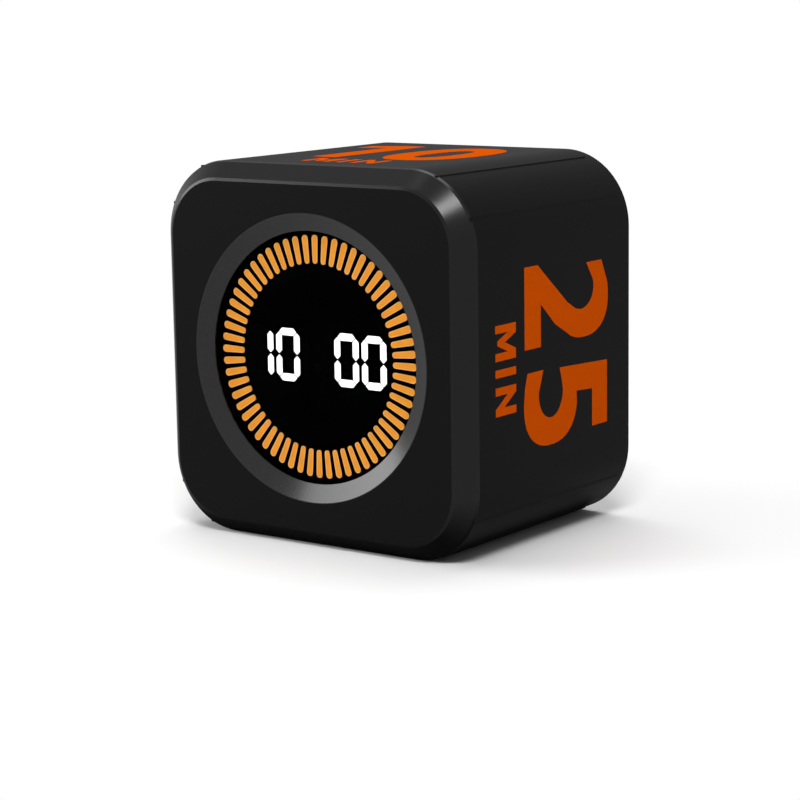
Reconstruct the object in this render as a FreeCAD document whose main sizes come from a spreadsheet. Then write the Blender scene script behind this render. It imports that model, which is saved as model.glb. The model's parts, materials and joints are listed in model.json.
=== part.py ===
import FreeCAD, Part
import math
import os
import re
import Sketcher

# Visual countdown timer: a square box that is turned onto one of its four sides.
# Millimetres. +Z is up, -Y is the front with the display, and the origin is the middle of the
# underside. Every piece is drawn about the middle of the front view and placed by its depth.

Vector = FreeCAD.Vector

SIZES = {
    # housing
    "side": 64.0,
    "depth": 50.0,
    "corner_radius": 12.8,
    "wall": 2.0,
    "front_wall": 3.0,
    "chamfer_inset": 2.9,
    "chamfer_depth": 3.0,
    "edge_break": 0.3,
    "rear_edge": 0.7,
    "fit_gap": 0.1,
    # conical ring and window
    "ring_radius": 24.1,
    "ring_land": 0.15,
    "ring_flange": 1.5,
    "ring_seat": 1.4,
    "ring_depth": 1.6,
    "ring_lip": 0.3,
    "glass_radius": 21.2,
    "glass_overlap": 1.7,
    "lens_thickness": 1.0,
    # light bars
    "bar_inner": 15.65,
    "bar_outer": 20.4,
    "bar_width_inner": 1.0,
    "bar_width_outer": 1.24,
    "bar_corner": 0.34,
    "fill_depth": 2.0,
    "fill_gap": 0.05,
    # digits
    "digit_width": 5.0,
    "digit_height": 8.9,
    "segment_width": 1.2,
    "segment_gap": 0.12,
    "digit_pitch": 5.65,
    "pair_pitch": 18.0,
    "colon_radius": 0.6,
    "colon_offset": 1.7,
    # display module
    "reflector_thickness": 4.0,
    "reflector_radius": 25.6,
    "ear_thickness": 2.0,
    "ear_half_width": 2.7,
    "display_hole_x": 15.0,
    "display_hole_z": 24.5,
    "boss_radius": 2.2,
    "led_board_radius": 24.5,
    "led_board_half_width": 18.0,
    "led_board_half_height": 27.3,
    "board_thickness": 1.2,
    "ring_led_radius": 18.0,
    "led_height": 0.6,
    "connector_width": 12.0,
    "connector_height": 3.2,
    "connector_depth": 1.6,
    "ribbon_width": 10.2,
    "ribbon_thickness": 0.3,
    "ribbon_drop": 27.0,
    "ribbon_bend": 2.0,
    "display_connector_z": 15.5,
    "main_connector_z": 20.0,
    # screws
    "screw_radius": 0.85,
    "screw_head_radius": 1.7,
    "screw_head_height": 1.2,
    "screw_bite": 4.6,
    "pilot_gap": 0.05,
    "clearance_hole": 1.2,
    "display_pilot_depth": 2.8,
    # battery frame
    "frame_seat": 13.0,
    "frame_hole_x": 26.4,
    "frame_hole_z": 12.0,
    "frame_half_width": 29.2,
    "frame_half_height": 17.5,
    "frame_thickness": 1.6,
    "tray_wall": 1.2,
    "tray_height": 5.0,
    "cell_width": 38.0,
    "cell_height": 30.0,
    "cell_thickness": 10.0,
    "cell_round": 2.4,
    "cell_gap": 0.3,
    "pad_thickness": 0.5,
    "protection_thickness": 1.0,
    "protection_height": 24.0,
    "protection_depth": 5.0,
    # corner columns and rear cover
    "column_offset": 24.0,
    "column_radius": 3.3,
    "rib_thickness": 1.2,
    "cover_recess": 1.0,
    "cover_thickness": 2.0,
    "cover_screw_head": 2.2,
    "cover_screw_sink": 1.2,
    "cover_screw_bite": 6.6,
    "grille_hole": 0.75,
    "grille_pitch": 2.7,
    "speaker_z": 13.0,
    "speaker_radius": 10.0,
    "speaker_wall": 1.2,
    "speaker_wall_height": 4.0,
    "cloth_radius": 8.2,
    "cloth_thickness": 0.2,
    "gasket_width": 1.5,
    "gasket_thickness": 0.6,
    "basket_depth": 2.8,
    "basket_wall": 0.6,
    "magnet_radius": 5.3,
    "magnet_thickness": 3.0,
    "speaker_wire": 0.45,
    "speaker_wire_x": 1.6,
    # main board
    "board_standoff": 8.0,
    "board_half_width": 19.5,
    "board_top": 4.0,
    "board_bottom": 26.2,
    "board_hole_upper_x": 7.5,
    "board_hole_upper_z": 0.6,
    "board_hole_lower_x": 17.3,
    "board_hole_lower_z": 23.6,
    "board_boss_radius": 2.0,
    "board_pilot_depth": 5.0,
    # push buttons
    "button_radius": 4.0,
    "button_gap": 0.1,
    "button_spacing": 15.0,
    "button_z": 7.0,
    "button_proud": 0.7,
    "button_flange": 1.0,
    "button_flange_thickness": 1.0,
    "button_bevel": 0.35,
    "button_travel": 0.5,
    "stem_radius": 1.6,
    "tact_side": 6.0,
    "tact_height": 3.5,
    "plunger_radius": 1.7,
    "plunger_height": 1.5,
    "plunger_depth": 0.6,
    # slide switch
    "switch_x": 11.0,
    "lower_row_z": 18.6,
    "switch_width": 9.0,
    "switch_height": 3.6,
    "switch_depth": 3.6,
    "lever_side": 1.5,
    "switch_step": 2.0,
    "knob_width": 4.0,
    "knob_height": 2.6,
    "knob_proud": 0.7,
    "knob_plate_height": 5.2,
    "knob_plate_thickness": 0.8,
    "knob_socket": 3.0,
    "knob_groove": 0.3,
    # charging inlet
    "inlet_x": 11.0,
    "inlet_width": 8.94,
    "inlet_height": 3.26,
    "inlet_wall": 0.35,
    "inlet_recess": 0.3,
    "inlet_gap": 0.25,
    "tongue_width": 6.7,
    "tongue_height": 0.7,
    "tongue_recess": 0.8,
    "insert_depth": 3.0,
    # battery lead
    "lead_radius": 0.6,
    "lead_spacing": 2.0,
    "lead_z": 4.0,
    "header_x": 13.0,
    "header_z": 0.4,
    "header_width": 4.6,
    "header_height": 6.0,
    "header_depth": 3.0,
    "plug_depth": 3.0,
}

# depths along +Y of the planes that several pieces share
FRONT = "(-depth / 2)"
WALL_BACK = "(-depth / 2 + front_wall)"
LENS_FRONT = "(-depth / 2 + ring_depth)"
LENS_BACK = "(-depth / 2 + ring_depth + lens_thickness)"
LED_BOARD_FRONT = "(-depth / 2 + ring_depth + lens_thickness + reflector_thickness)"
LED_BOARD_BACK = "(-depth / 2 + ring_depth + lens_thickness + reflector_thickness + board_thickness)"
EAR_FRONT = "(-depth / 2 + ring_depth + lens_thickness + reflector_thickness - ear_thickness)"
FRAME_FRONT = "(-depth / 2 + frame_seat)"
FRAME_BACK = "(-depth / 2 + frame_seat + frame_thickness)"
COVER_BACK = "(depth / 2 - cover_recess)"
COVER_FRONT = "(depth / 2 - cover_recess - cover_thickness)"
BOARD_BACK = "(depth / 2 - cover_recess - cover_thickness - board_standoff)"
BOARD_FRONT = "(depth / 2 - cover_recess - cover_thickness - board_standoff - board_thickness)"

doc = FreeCAD.newDocument("CountdownTimer")
sheet = doc.addObject("Spreadsheet::Sheet", "Sizes")
for row, (name, value) in enumerate(SIZES.items(), start=1):
    sheet.set("A%d" % row, name)
    sheet.set("B%d" % row, str(value))
    sheet.setAlias("B%d" % row, name)
doc.recompute()

subparts = []


def in_sheet(formula):
    """Put the sheet's name before each size in a formula."""

    def with_sheet(match):
        word = match.group()
        return "Sizes." + word if word in SIZES else word

    return re.sub(r"[a-z_]+", with_sheet, formula)


def bind(item, path, formula):
    item.setExpression(path, in_sheet(formula))


def new_body(label, depth="0", x="0", z="0"):
    """A body drawn about the middle of the front view, at a depth along +Y."""
    body = doc.addObject("PartDesign::Body", label)
    body.Label = label
    bind(body, "Placement.Base.x", x)
    bind(body, "Placement.Base.y", depth)
    bind(body, "Placement.Base.z", "side / 2 + (%s)" % z)
    subparts.append(body)
    return body


def origin_feature(body, role):
    return [feature for feature in body.Origin.OriginFeatures if feature.Role == role][0]


def new_sketch(body, name, start="0", role="XZ_Plane"):
    """A sketch on one of the body's own planes; start is its distance behind the front view's plane."""
    sketch = body.newObject("Sketcher::SketchObject", name)
    sketch.AttachmentSupport = [(origin_feature(body, role), "")]
    sketch.MapMode = "FlatFace"
    if role == "XZ_Plane":
        bind(sketch, "AttachmentOffset.Base.z", "-(%s)" % start)
    return sketch


def locate(sketch, geometry, point, x, z):
    """Set a point's two coordinates by formula."""
    for kind, formula in (("DistanceX", x), ("DistanceY", z)):
        index = sketch.addConstraint(Sketcher.Constraint(kind, -1, 1, geometry, point, 1.0))
        bind(sketch, "Constraints[%d]" % index, formula)


def circles(sketch, radius, centres):
    for x, z in centres:
        circle = sketch.addGeometry(Part.Circle(Vector(0, 0, 0), Vector(0, 0, 1), 1.0))
        index = sketch.addConstraint(Sketcher.Constraint("Radius", circle, 1.0))
        bind(sketch, "Constraints[%d]" % index, radius)
        locate(sketch, circle, 3, x, z)


def polygon(sketch, corners):
    """A closed outline of straight edges through corners given as formulas."""
    count = len(corners)
    first = sketch.GeometryCount
    turns = [2 * math.pi * number / count for number in range(count)]
    start = [Vector(10 * math.cos(turn), 10 * math.sin(turn), 0) for turn in turns]
    sides = [Part.LineSegment(start[number - 1], start[number]) for number in range(count)]
    sketch.addGeometry(sides, False)
    constraints = []
    for number in range(count):
        following = first + (number + 1) % count
        constraints.append(Sketcher.Constraint("Coincident", first + number, 2, following, 1))
        point = start[number]
        constraints.append(Sketcher.Constraint("DistanceX", -1, 1, first + number, 2, point.x))
        constraints.append(Sketcher.Constraint("DistanceY", -1, 1, first + number, 2, point.y))
    begin = sketch.ConstraintCount
    sketch.addConstraint(constraints)
    for number, (x, z) in enumerate(corners):
        bind(sketch, "Constraints[%d]" % (begin + 3 * number + 1), x)
        bind(sketch, "Constraints[%d]" % (begin + 3 * number + 2), z)


def rectangle(sketch, left, right, bottom, top):
    polygon(sketch, [(left, bottom), (right, bottom), (right, top), (left, top)])


def prisms(body, kind, name, radius, centres, start, length, sides=8):
    """Prisms from a depth towards the rear, for round details too small to need a circle.

    kind is Additive or Subtractive. A sketch holds a few of them, because a large one is slow to solve.
    """
    count = max(1, 40 // sides)
    for first in range(0, len(centres), count):
        sketch = new_sketch(body, "%s_%d" % (name, first + 1), start)
        for x, z in centres[first:first + count]:
            corners = []
            for number in range(sides):
                turn = 2 * math.pi * (number + 0.5) / sides
                across = "%s + %.6f * (%s)" % (x, math.cos(turn), radius)
                corners.append((across, "%s + %.6f * (%s)" % (z, math.sin(turn), radius)))
            polygon(sketch, corners)
        if kind == "Additive":
            pad(body, sketch, length)
        else:
            cut(body, sketch, length)


def soft_rectangle(sketch, half_x, half_z, radius, steps=8, x="0", z="0"):
    """A rectangle about (x, z) with each corner rounded in short straight steps."""
    corners = []
    for number, (side_x, side_z) in enumerate([(1, 1), (-1, 1), (-1, -1), (1, -1)]):
        for step in range(steps + 1):
            angle = math.pi / 2 * (number + step / steps)
            across = "%s + %d * (%s - %s) + %.6f * %s" % (x, side_x, half_x, radius, math.cos(angle), radius)
            up = "%s + %d * (%s - %s) + %.6f * %s" % (z, side_z, half_z, radius, math.sin(angle), radius)
            corners.append((across, up))
    polygon(sketch, corners)


def pad(body, sketch, length):
    """Material from the sketch towards the rear."""
    feature = body.newObject("PartDesign::Pad", sketch.Name + "_pad")
    feature.Profile = sketch
    feature.Reversed = True
    bind(feature, "Length", length)
    return feature


def cut(body, sketch, length):
    """A pocket from the sketch towards the rear, which has to take something away."""
    doc.recompute()
    before = body.Shape.Volume
    feature = body.newObject("PartDesign::Pocket", sketch.Name + "_cut")
    feature.Profile = sketch
    bind(feature, "Length", length)
    doc.recompute()
    if body.Shape.Volume > before - 1e-6:
        raise RuntimeError(sketch.Name + " cuts nothing from " + body.Label)
    return feature


def revolve(body, name, corners):
    """A solid of revolution about the body's depth axis, from (radius, depth) corners."""
    sketch = new_sketch(body, name, role="XY_Plane")
    polygon(sketch, corners)
    feature = body.newObject("PartDesign::Revolution", name + "_turned")
    feature.Profile = sketch
    feature.ReferenceAxis = (origin_feature(body, "Y_Axis"), [""])
    feature.Angle = 360
    return feature


def around(body, feature, count):
    """Repeat a feature evenly round the depth axis."""
    pattern = body.newObject("PartDesign::PolarPattern", feature.Name + "_round")
    pattern.Originals = [feature]
    pattern.Axis = (origin_feature(body, "Y_Axis"), [""])
    pattern.Angle = 360
    pattern.Occurrences = count
    body.Tip = pattern
    return pattern


def four(x, z):
    """The four places at plus and minus x and z."""
    return [(x, z), ("-" + x, z), ("-" + x, "-" + z), (x, "-" + z)]


def block(label, left, right, bottom, top, depth, length):
    """A plain rectangular piece."""
    body = new_body(label, depth)
    outline = new_sketch(body, label + "_outline")
    rectangle(outline, left, right, bottom, top)
    pad(body, outline, length)
    return body


def screws(label, places, head_plane, head_radius, head_height, length, inwards="rear"):
    """Pan-head screws that point to the front, or to the rear if inwards is rear."""
    body = new_body(label, head_plane)
    head_start = "0" if inwards == "front" else "-(%s)" % head_height
    shank_start = "-(%s)" % length if inwards == "front" else "0"
    prisms(body, "Additive", label + "_head", head_radius, places, head_start, head_height, 12)
    prisms(body, "Additive", label + "_shank", "screw_radius", places, shank_start, length)
    return body


def long_edges(edge):
    """Edges that run from front to rear."""
    box = edge.BoundBox
    return box.YLength > 1e-3 and box.XLength < 1e-6 and box.ZLength < 1e-6


def rearmost_edges(feature):
    """Edges in the plane where a feature ends at the rear."""

    def wanted(edge):
        return edge.BoundBox.YLength < 1e-6 and edge.BoundBox.YMin > feature.Shape.BoundBox.YMax - 1e-4

    return wanted


def edges_at(depth):
    """Edges that lie in the plane at one depth of the body."""
    return lambda edge: edge.BoundBox.YLength < 1e-6 and abs(edge.BoundBox.YMin - depth) < 1e-6


def dress(body, before, kind, name, wanted, size, second=None):
    """Round or bevel the edges of the feature before that are wanted."""
    doc.recompute()
    edges = ["Edge%d" % number for number, edge in enumerate(before.Shape.Edges, start=1) if wanted(edge)]
    feature = body.newObject("PartDesign::" + kind, name)
    feature.Base = (before, edges)
    bind(feature, "Radius" if kind == "Fillet" else "Size", size)
    if second:
        feature.ChamferType = "Two distances"
        bind(feature, "Size2", second)
    doc.recompute()
    return feature


# Housing: one moulded shell, open at the rear
def make_housing():
    body = new_body("housing", FRONT)
    outline = new_sketch(body, "housing_outline")
    rectangle(outline, "-side / 2", "side / 2", "-side / 2", "side / 2")
    form = pad(body, outline, "depth")
    form = dress(body, form, "Fillet", "corner_rounding", long_edges, "corner_radius")
    form = dress(body, form, "Chamfer", "front_chamfer", edges_at(0.0), "chamfer_depth", "chamfer_inset")
    form = dress(body, form, "Chamfer", "face_edge_break", edges_at(0.0), "edge_break")
    side_edge = edges_at(SIZES["chamfer_depth"])
    form = dress(body, form, "Chamfer", "side_edge_break", side_edge, "edge_break")
    dress(body, form, "Chamfer", "rear_edge_bevel", edges_at(SIZES["depth"]), "rear_edge")

    cavity = new_sketch(body, "cavity", "front_wall")
    half = "(side / 2 - wall)"
    soft_rectangle(cavity, half, half, "(corner_radius - wall)")
    cut(body, cavity, "depth")

    # columns for the rear cover's screws, tied to both walls by ribs
    rear_stop = "(depth - cover_recess - cover_thickness - front_wall)"
    places = four("column_offset", "column_offset")
    prisms(body, "Additive", "corner_column", "column_radius", places, "front_wall", rear_stop)
    ribs = new_sketch(body, "column_ribs", "front_wall")
    reach = "(side / 2 - wall / 2)"
    for right in (1, -1):
        for up in (1, -1):
            low = "%d * column_offset - rib_thickness / 2" % up
            high = "%d * column_offset + rib_thickness / 2" % up
            near = "%d * (column_offset + column_radius / 2)" % right
            rectangle(ribs, near, "%d * %s" % (right, reach), low, high)
    pad(body, ribs, rear_stop)
    upright_ribs = new_sketch(body, "upright_ribs", "front_wall")
    for right in (1, -1):
        for up in (1, -1):
            low = "%d * column_offset - rib_thickness / 2" % right
            high = "%d * column_offset + rib_thickness / 2" % right
            near = "%d * (column_offset + column_radius / 2)" % up
            rectangle(upright_ribs, low, high, near, "%d * %s" % (up, reach))
    pad(body, upright_ribs, rear_stop)

    # bosses that carry the display module
    boss_height = "(%s - %s)" % (EAR_FRONT, WALL_BACK)
    bosses = four("display_hole_x", "display_hole_z")
    prisms(body, "Additive", "display_boss", "boss_radius", bosses, "front_wall", boss_height)

    # posts that carry the battery frame, each with a rib to its side wall
    posts = four("frame_hole_x", "frame_hole_z")
    prisms(body, "Additive", "frame_post", "boss_radius", posts, "front_wall", "frame_seat - front_wall")
    post_ribs = new_sketch(body, "post_ribs", "front_wall")
    for right in (1, -1):
        for up in (1, -1):
            low = "%d * frame_hole_z - rib_thickness / 2" % up
            high = "%d * frame_hole_z + rib_thickness / 2" % up
            near = "%d * (frame_hole_x + boss_radius / 2)" % right
            rectangle(post_ribs, near, "%d * %s" % (right, reach), low, high)
    pad(body, post_ribs, "frame_seat - front_wall")

    pilot = "(screw_radius + pilot_gap)"
    start = "(depth - cover_recess - cover_thickness - cover_screw_bite - 1)"
    prisms(body, "Subtractive", "column_pilot", pilot, places, start, "cover_screw_bite + 2")
    start = "(%s) - (%s) - display_pilot_depth" % (EAR_FRONT, FRONT)
    prisms(body, "Subtractive", "display_pilot", pilot, bosses, start, "display_pilot_depth + 1")
    start = "(frame_seat - screw_bite - 1)"
    prisms(body, "Subtractive", "frame_pilot", pilot, posts, start, "screw_bite + 2")

    # stepped bore for the conical ring
    bore = new_sketch(body, "ring_bore")
    circles(bore, "ring_radius + ring_land + fit_gap / 2", [("0", "0")])
    cut(body, bore, "front_wall")
    seat = new_sketch(body, "ring_seat_bore", "ring_seat")
    circles(seat, "ring_radius + ring_land + ring_flange + fit_gap", [("0", "0")])
    cut(body, seat, "front_wall - ring_seat")
    return body


CENTRE = [("0", "0")]


# Conical ring and dark window
def make_ring_and_window():
    body = new_body("trim_ring", FRONT)
    outer = "(ring_radius + ring_land)"
    flange = "(ring_radius + ring_land + ring_flange)"
    pocket = "(glass_radius + glass_overlap + fit_gap)"
    back = "(ring_depth + lens_thickness)"
    revolve(body, "ring_profile", [
        (outer, "0"),
        ("ring_radius", "0"),
        ("glass_radius", "(ring_depth - ring_lip)"),
        ("glass_radius", "ring_depth"),
        (pocket, "ring_depth"),
        (pocket, back),
        (flange, back),
        (flange, "ring_seat"),
        (outer, "ring_seat"),
    ])
    body = new_body("display_lens", LENS_FRONT)
    radius = "(glass_radius + glass_overlap)"
    prisms(body, "Additive", "lens_disc", radius, CENTRE, "0", "lens_thickness", 32)


def bar_outline(sketch):
    """One light bar above the middle: tapered, with its corners taken off."""
    right = [
        ("(bar_width_inner / 2 - bar_corner)", "bar_inner"),
        ("(bar_width_inner / 2)", "(bar_inner + bar_corner)"),
        ("(bar_width_outer / 2)", "(bar_outer - bar_corner)"),
        ("(bar_width_outer / 2 - bar_corner)", "bar_outer"),
    ]
    left = [("-(%s)" % x, z) for x, z in reversed(right)]
    polygon(sketch, right + left)


def digit_outline(sketch, gap, x="0"):
    """Seven segments with pointed ends; gap widens each of them."""
    half = "(segment_width / 2 + %s)" % gap
    near = "(segment_width / 2 + segment_gap - %s)" % gap
    column = "(digit_width / 2 - segment_width / 2)"
    level = "(digit_height / 2 - segment_width / 2)"
    for z in (level, "0", "-" + level):
        tip = "(%s - segment_gap + %s)" % (column, gap)
        neck = "(%s - %s)" % (column, near)
        corners = [(tip, z), (neck, "%s + %s" % (z, half)), ("-" + neck, "%s + %s" % (z, half))]
        corners += [("-" + tip, z), ("-" + neck, "%s - %s" % (z, half)), (neck, "%s - %s" % (z, half))]
        polygon(sketch, [("%s + %s" % (x, across), height) for across, height in corners])
    for side in (1, -1):
        for up in (1, -1):
            middle = "%d * %s" % (side, column)
            low_tip = "%d * (segment_gap - %s)" % (up, gap)
            low_neck = "%d * %s" % (up, near)
            high_tip = "%d * (%s - segment_gap + %s)" % (up, level, gap)
            high_neck = "%d * (%s - %s)" % (up, level, near)
            corners = [(middle, low_tip), ("%s + %s" % (middle, half), low_neck)]
            corners += [("%s + %s" % (middle, half), high_neck), (middle, high_tip)]
            corners += [("%s - %s" % (middle, half), high_neck), ("%s - %s" % (middle, half), low_neck)]
            polygon(sketch, [("%s + %s" % (x, across), height) for across, height in corners])


# the four digits from left to right, as multiples of the two pitches on each side of the middle
DIGITS = {
    "minutes_tens_digit": "(-pair_pitch / 2 - digit_pitch / 2)",
    "minutes_ones_digit": "(-pair_pitch / 2 + digit_pitch / 2)",
    "seconds_tens_digit": "(pair_pitch / 2 - digit_pitch / 2)",
    "seconds_ones_digit": "(pair_pitch / 2 + digit_pitch / 2)",
}
DOTS = [("0", "colon_offset"), ("0", "-colon_offset")]


# Black moulding with a window for each bar and each segment of a digit
def make_reflector():
    body = new_body("segment_reflector", LENS_BACK)
    prisms(body, "Additive", "reflector_disc", "reflector_radius", CENTRE, "0", "reflector_thickness", 40)
    ears = new_sketch(body, "reflector_ears", "reflector_thickness - ear_thickness")
    for right in (1, -1):
        left_edge = "%d * display_hole_x - ear_half_width" % right
        right_edge = "%d * display_hole_x + ear_half_width" % right
        top = "(display_hole_z + ear_half_width)"
        rectangle(ears, left_edge, right_edge, "-" + top, top)
    pad(body, ears, "ear_thickness")
    places = four("display_hole_x", "display_hole_z")
    through = "(reflector_thickness + 2)"
    prisms(body, "Subtractive", "ear_hole", "clearance_hole", places, "-1", through)
    for name, x in DIGITS.items():
        window = new_sketch(body, name + "_window", "-1")
        digit_outline(window, "fill_gap", x)
        cut(body, window, "reflector_thickness + 2")
    prisms(body, "Subtractive", "colon_window", "colon_radius + fill_gap", DOTS, "-1", through, 12)
    window = new_sketch(body, "bar_window", "-1")
    low, high = "(bar_inner - fill_gap)", "(bar_outer + fill_gap)"
    narrow, broad = "(bar_width_inner / 2 + fill_gap)", "(bar_width_outer / 2 + fill_gap)"
    polygon(window, [("-" + narrow, low), (narrow, low), (broad, high), ("-" + broad, high)])
    around(body, cut(body, window, "reflector_thickness + 2"), 60)


# Translucent fillings of the windows
def make_fillings():
    body = new_body("ring_bars", LENS_BACK)
    bar = new_sketch(body, "bar")
    bar_outline(bar)
    around(body, pad(body, bar, "fill_depth"), 60)
    for name, x in DIGITS.items():
        body = new_body(name, LENS_BACK, x)
        segments = new_sketch(body, name + "_segments")
        digit_outline(segments, "0")
        pad(body, segments, "fill_depth")
    body = new_body("colon_dots", LENS_BACK)
    prisms(body, "Additive", "dot", "colon_radius", DOTS, "0", "fill_depth", 12)


# Board behind the reflector, with a light source in each window
def make_led_board():
    body = new_body("led_board", LED_BOARD_FRONT)
    prisms(body, "Additive", "led_board_disc", "led_board_radius", CENTRE, "0", "board_thickness", 32)
    tabs = new_sketch(body, "led_board_tabs")
    wide, tall = "led_board_half_width", "led_board_half_height"
    rectangle(tabs, "-" + wide, wide, "-" + tall, tall)
    pad(body, tabs, "board_thickness")
    places = four("display_hole_x", "display_hole_z")
    through = "(board_thickness + 2)"
    prisms(body, "Subtractive", "led_board_hole", "clearance_hole", places, "-1", through)

    body = new_body("ring_leds", LED_BOARD_FRONT)
    chip = new_sketch(body, "ring_led", "-led_height")
    rectangle(chip, "-0.4", "0.4", "ring_led_radius - 0.8", "ring_led_radius + 0.8")
    around(body, pad(body, chip, "led_height"), 60)

    body = new_body("digit_leds", LED_BOARD_FRONT)
    column = "(digit_width / 2 - segment_width / 2)"
    level = "(digit_height / 2 - segment_width / 2)"
    for name, x in DIGITS.items():
        chips = new_sketch(body, name + "_leds", "-led_height")
        for z in (level, "0", "-" + level):
            rectangle(chips, x + " - 0.8", x + " + 0.8", z + " - 0.4", z + " + 0.4")
        for side in (1, -1):
            for up in (1, -1):
                middle = "%s + %d * %s" % (x, side, column)
                height = "%d * %s / 2" % (up, level)
                rectangle(chips, middle + " - 0.4", middle + " + 0.4", height + " - 0.8", height + " + 0.8")
        pad(body, chips, "led_height")

    block("display_driver", "-11", "-5", "4", "10", LED_BOARD_BACK, "0.9")
    half = "connector_width / 2"
    low = "-(display_connector_z + connector_height / 2)"
    high = "-(display_connector_z - connector_height / 2)"
    block("display_connector", "-" + half, half, low, high, LED_BOARD_BACK, "connector_depth")
    screws("display_screws", places, LED_BOARD_BACK, "screw_head_radius", "screw_head_height",
           "(ear_thickness + board_thickness + display_pilot_depth - 0.4)", "front")


# Flat cable from the display round the battery to the main board
def make_ribbon():
    size = SIZES
    back = size["depth"] / 2
    start_y = -back + size["ring_depth"] + size["lens_thickness"] + size["reflector_thickness"]
    start_y += size["board_thickness"] + size["connector_depth"] / 2
    end_y = back - size["cover_recess"] - size["cover_thickness"] - size["board_standoff"]
    end_y -= size["board_thickness"] + size["connector_depth"] / 2
    middle = size["side"] / 2
    start_z = middle - size["display_connector_z"] - size["connector_height"] / 2
    end_z = middle - size["main_connector_z"] - size["connector_height"] / 2
    low_z = middle - size["ribbon_drop"]
    corners = [
        Vector(0, start_y, start_z),
        Vector(0, start_y, low_z),
        Vector(0, end_y, low_z),
        Vector(0, end_y, end_z),
    ]
    path = rounded_path(corners, size["ribbon_bend"])
    width = size["ribbon_width"] / 2
    thick = size["ribbon_thickness"] / 2
    across = [Vector(-width, start_y - thick, start_z), Vector(width, start_y - thick, start_z)]
    across += [Vector(width, start_y + thick, start_z), Vector(-width, start_y + thick, start_z)]
    section = Part.makePolygon(across + across[:1])
    add_shape("display_ribbon", path.makePipeShell([section], True, False))


def rounded_path(corners, radius):
    """Straight runs through the corners, joined by tangent arcs."""
    edges = []
    last = corners[0]
    for before, corner, after in zip(corners, corners[1:], corners[2:]):
        inward = (corner - before).normalize()
        outward = (after - corner).normalize()
        turn = inward.getAngle(outward)
        reach = radius * math.tan(turn / 2)
        begin = corner - inward * reach
        finish = corner + outward * reach
        bisector = (outward - inward).normalize()
        centre = corner + bisector * (radius / math.cos(turn / 2))
        edges.append(Part.LineSegment(last, begin).toShape())
        edges.append(Part.Arc(begin, centre - bisector * radius, finish).toShape())
        last = finish
    edges.append(Part.LineSegment(last, corners[-1]).toShape())
    return Part.Wire(edges)


def add_shape(label, shape):
    """A piece whose shape is worked out along a path, from the same sizes as the sheet's."""
    feature = doc.addObject("Part::Feature", label)
    feature.Label = label
    feature.Shape = shape
    feature.Placement = FreeCAD.Placement()
    subparts.append(feature)
    return feature


def tube(corners, radius, bend):
    """A wire with six flat sides along a rounded path."""
    path = rounded_path(corners, bend)
    direction = corners[1] - corners[0]
    turn = FreeCAD.Rotation(Vector(0, 0, 1), direction)
    around_wire = [math.pi * (number + 0.5) / 3 for number in range(7)]
    ring = [turn.multVec(Vector(math.cos(a), math.sin(a), 0)) * radius + corners[0] for a in around_wire]
    return path.makePipeShell([Part.makePolygon(ring)], True, False)


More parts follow.
